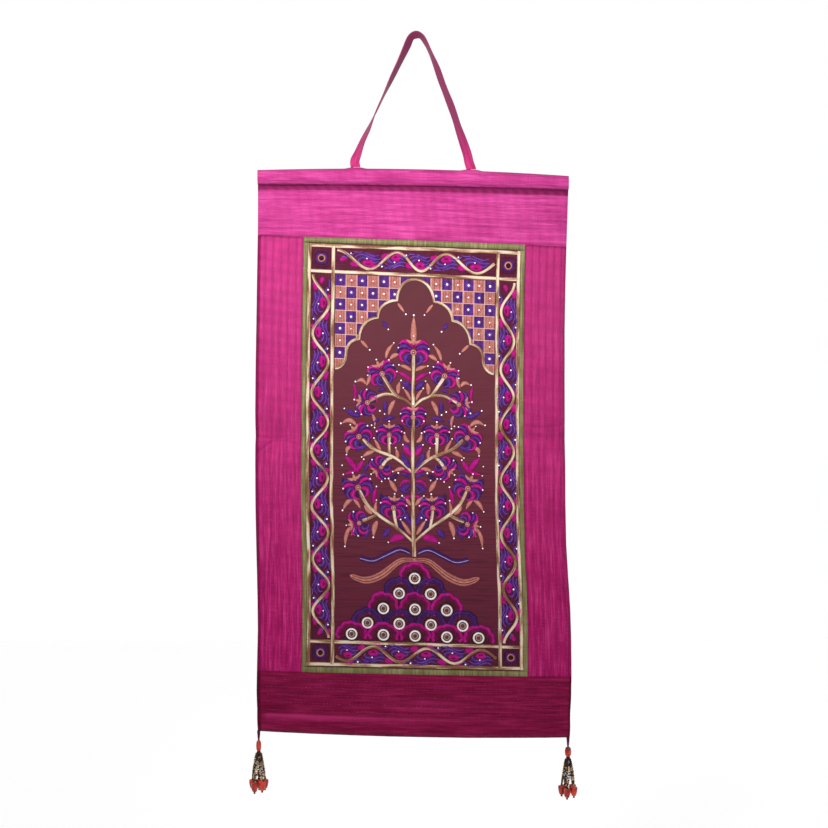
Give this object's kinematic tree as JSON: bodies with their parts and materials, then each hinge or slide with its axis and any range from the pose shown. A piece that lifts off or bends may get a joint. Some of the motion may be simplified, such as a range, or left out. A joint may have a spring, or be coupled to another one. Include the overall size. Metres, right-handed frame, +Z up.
{
  "type": "embroidered wall hanging",
  "caption": "Silk wall hanging on a cloth strap: quilted bands round an embroidered tree panel with mirror work, a rolled sleeve at top and foot, and a beaded tassel at each lower corner.",
  "frame": {"origin": "where the strap bears on its hook: the inner top of the strap's loop", "axes": "+Z up, +X to the viewer's right, the embroidered front faces -Y and the wall is at +Y"},
  "size_m": [0.4824, 0.0288, 1.1277],
  "materials": {
    "rose_silk": "slubbed silk, soft sheen",
    "magenta_silk": "slubbed silk, soft sheen",
    "plum_silk": "slubbed silk, soft sheen",
    "green_silk": "slubbed silk, satin",
    "maroon_ground": "plain cotton, matt",
    "gold_braid": "metal-wrapped thread, satin",
    "mirror_work": "glass in a white stitched ring",
    "coral_thread": "floss, satin",
    "coral_bead": "polished",
    "seed_bead": "small glossy beads"
  },
  "bodies": {
    "root": {"top_band": "rose_silk", "bottom_band": "plum_silk", "left_band": "magenta_silk", "right_band": "magenta_silk", "border_top": "green_silk", "border_bottom": "green_silk", "border_left": "green_silk", "border_right": "green_silk", "embroidered_panel": "maroon_ground", "strap": "magenta_silk", "braid_frame": "gold_braid", "vine_top": "gold_braid", "vine_bottom": "gold_braid", "vine_left": "gold_braid", "vine_right": "gold_braid", "arch_braid": "gold_braid", "tree_braid": "gold_braid", "mirror_01": "mirror_work", "mirror_02": "mirror_work", "mirror_03": "mirror_work", "mirror_04": "mirror_work", "mirror_05": "mirror_work", "mirror_06": "mirror_work", "mirror_07": "mirror_work", "mirror_08": "mirror_work", "mirror_09": "mirror_work", "mirror_10": "mirror_work", "mirror_11": "mirror_work", "mirror_12": "mirror_work", "mirror_13": "mirror_work", "mirror_14": "mirror_work", "mirror_15": "mirror_work", "rosette_top_left": "coral_thread", "rosette_top_right": "coral_thread", "rosette_bottom_left": "coral_thread", "rosette_bottom_right": "coral_thread", "tassel_bead_left": "coral_bead", "tassel_bead_right": "coral_bead", "bell_left_1": "coral_bead", "bell_left_2": "coral_bead", "bell_left_3": "coral_bead", "bell_left_4": "coral_bead", "bell_left_5": "coral_bead", "bell_right_1": "coral_bead", "bell_right_2": "coral_bead", "bell_right_3": "coral_bead", "bell_right_4": "coral_bead", "bell_right_5": "coral_bead", "tassel_left": "seed_bead", "tassel_right": "seed_bead"}
  },
  "joints": []
}
